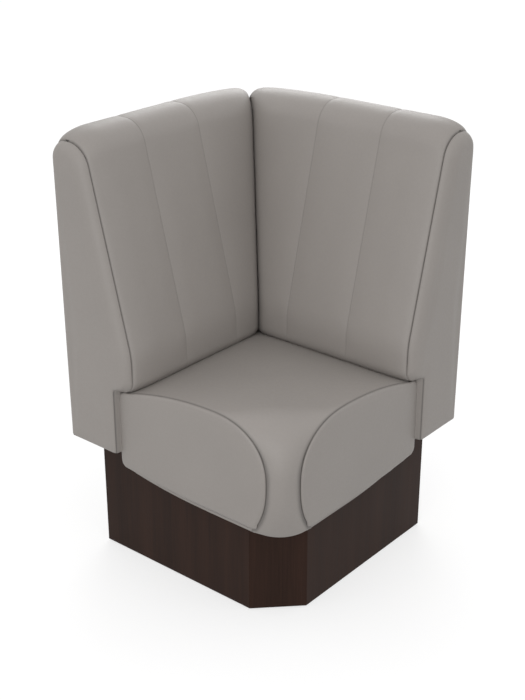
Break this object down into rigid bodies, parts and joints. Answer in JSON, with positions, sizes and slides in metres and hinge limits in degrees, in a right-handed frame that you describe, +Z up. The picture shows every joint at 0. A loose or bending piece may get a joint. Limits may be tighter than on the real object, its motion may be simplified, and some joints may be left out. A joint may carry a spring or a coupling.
{
  "type": "corner banquette bench",
  "caption": "Upholstered inside-corner banquette unit: domed seat with D-shaped ends, mitred sloping padded backs and a recessed timber plinth on levelling feet.",
  "frame": {"origin": "on the floor, under the middle of the unit's bounding box", "axes": "+Z up; the left back stands along the -X side and the right back along the +Y side, so the wall corner is at -X, +Y and the front corner points to +X, -Y"},
  "size_m": [0.65, 0.65, 1.022],
  "materials": {
    "cover": "fine grain, satin",
    "cloth": "non-woven, matte",
    "foam": "open cell, matte",
    "plinth": "dark stained veneer, satin",
    "ply": "plywood, sanded",
    "timber": "planed softwood",
    "steel": "zinc plated"
  },
  "bodies": {
    "bench": {"plinth_panel_left": "plinth", "plinth_panel_right": "plinth", "plinth_panel_corner": "plinth", "plinth_panel_side": "plinth", "plinth_panel_rear": "plinth", "plinth_posts": "timber", "plinth_bearers": "timber", "seat_cleats": "timber", "foot_blocks": "timber", "foot_nuts": "steel", "seat_base": "cover", "seat_rail_left": "ply", "seat_rail_right": "ply", "seat_rail_corner": "ply", "seat_rear_rails": "ply", "seat_blocks": "timber", "seat_cross_rail": "ply", "seat_deck": "ply", "seat_foam": "foam", "seat_pad_left": "foam", "seat_pad_right": "foam", "seat_cover_top": "cover", "seat_cover_left": "cover", "seat_cover_right": "cover", "seat_bolts": "steel", "left_bottom_board": "ply", "left_ribs": "ply", "left_top_rail": "timber", "left_knee_rail": "timber", "left_lower_board": "ply", "left_upper_board": "ply", "left_rear_board": "ply", "left_foam": "foam", "left_end_foam": "foam", "left_cover_outer": "cover", "left_cover_middle": "cover", "left_cover_inner": "cover", "left_cover_end": "cover", "left_cover_rear": "cloth", "right_bottom_board": "ply", "right_ribs": "ply", "right_top_rail": "timber", "right_knee_rail": "timber", "right_lower_board": "ply", "right_upper_board": "ply", "right_rear_board": "ply", "right_foam": "foam", "right_end_foam": "foam", "right_cover_outer": "cover", "right_cover_middle": "cover", "right_cover_inner": "cover", "right_cover_end": "cover", "right_cover_rear": "cloth", "back_bolts": "steel", "corner_plates": "steel", "corner_screws": "steel"},
    "foot_left": {"foot_left": "steel"},
    "foot_right": {"foot_right": "steel"},
    "foot_rear": {"foot_rear": "steel"},
    "foot_front": {"foot_front": "steel"}
  },
  "joints": [
    {"name": "foot_left_height", "type": "slide", "parent": "bench", "child": "foot_left", "axis": [0, 0, -1], "range_m": [-0.012, 0.015]},
    {"name": "foot_right_height", "type": "slide", "parent": "bench", "child": "foot_right", "axis": [0, 0, -1], "range_m": [-0.012, 0.015]},
    {"name": "foot_rear_height", "type": "slide", "parent": "bench", "child": "foot_rear", "axis": [0, 0, -1], "range_m": [-0.012, 0.015]},
    {"name": "foot_front_height", "type": "slide", "parent": "bench", "child": "foot_front", "axis": [0, 0, -1], "range_m": [-0.012, 0.015]}
  ]
}
